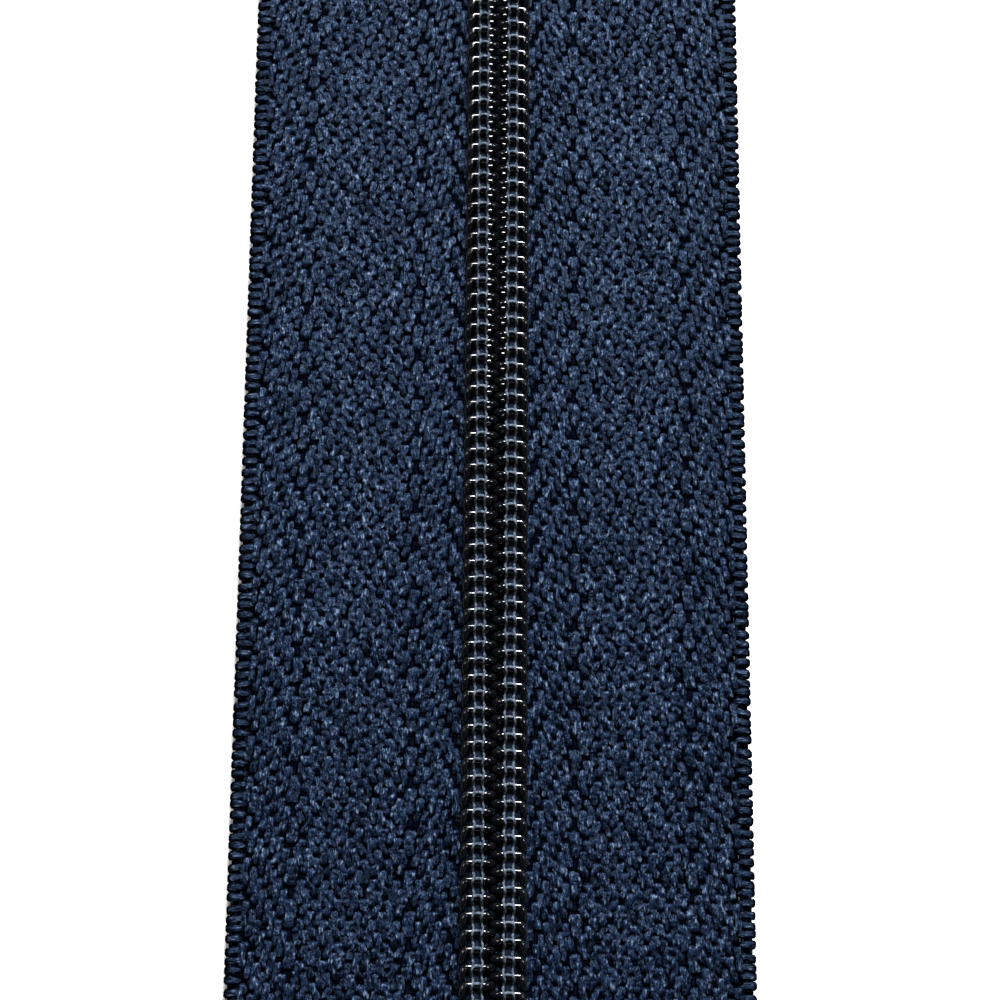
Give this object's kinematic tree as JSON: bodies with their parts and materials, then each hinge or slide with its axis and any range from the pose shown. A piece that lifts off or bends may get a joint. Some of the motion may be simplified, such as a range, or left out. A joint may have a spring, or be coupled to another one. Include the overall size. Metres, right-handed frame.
{
  "type": "zipper",
  "caption": "Closed-end nylon coil zipper, size 3, with navy woven tapes, black coils, metal stops and an auto-lock slider with a pull tab.",
  "frame": {"origin": "underside of the slider's lower wing, on the centre line, halfway along the tapes", "axes": "+X across the zipper, +Y along it towards the top end, +Z out of the coil face"},
  "size_m": [0.0344, 0.13, 0.0063],
  "materials": {
    "tape": "woven polyester",
    "coil": "glossy nylon monofilament",
    "cord": "twisted cord",
    "thread": "twisted polyester thread",
    "stop_metal": "satin",
    "slider_enamel": "gloss enamel",
    "spring_steel": "plated"
  },
  "bodies": {
    "chain": {"left_tape": "tape", "right_tape": "tape", "left_coil": "coil", "left_core_cord": "cord", "left_inner_thread": "thread", "left_outer_thread": "thread", "left_inner_looper": "thread", "left_outer_looper": "thread", "right_coil": "coil", "right_core_cord": "cord", "right_inner_thread": "thread", "right_outer_thread": "thread", "right_inner_looper": "thread", "right_outer_looper": "thread", "bottom_stop": "stop_metal"},
    "left_end": {"left_top_stop": "stop_metal"},
    "right_end": {"right_top_stop": "stop_metal"},
    "slider": {"slider_body": "slider_enamel", "slider_crown": "slider_enamel"},
    "lock_pin": {"lock_pin": "spring_steel"},
    "pull_tab": {"pull_tab": "slider_enamel"}
  },
  "joints": [
    {"name": "slider_travel", "type": "slide", "parent": "chain", "child": "slider", "axis": [0, 1, 0], "range_m": [-0.0887, 0], "deforming": ["left_tape", "right_tape", "left_coil", "left_core_cord", "left_inner_thread", "left_outer_thread", "left_inner_looper", "left_outer_looper", "right_coil", "right_core_cord", "right_inner_thread", "right_outer_thread", "right_inner_looper", "right_outer_looper"]},
    {"name": "left_spread", "type": "hinge", "parent": "chain", "child": "left_end", "pos_m": [0, -0.0493, 0.0015], "axis": [0, 0, 1], "range_deg": [0, 8.1]},
    {"name": "right_spread", "type": "hinge", "parent": "chain", "child": "right_end", "pos_m": [0, -0.0493, 0.0015], "axis": [0, 0, -1], "range_deg": [0, 8.1]},
    {"name": "pull_swing", "type": "hinge", "parent": "slider", "child": "pull_tab", "pos_m": [0, 0.0438, 0.00462], "axis": [1, 0, 0], "range_deg": [0, 180]},
    {"name": "pin_lift", "type": "hinge", "parent": "slider", "child": "lock_pin", "pos_m": [0, 0.0461, 0.00522], "axis": [-1, 0, 0], "range_deg": [0, 6], "stiffness_Nm_per_rad": 0.002}
  ],
  "couplings": [
    {"joint": "left_spread", "follows": "slider_travel", "rad_per_m": -1.57},
    {"joint": "right_spread", "follows": "slider_travel", "rad_per_m": -1.57}
  ]
}
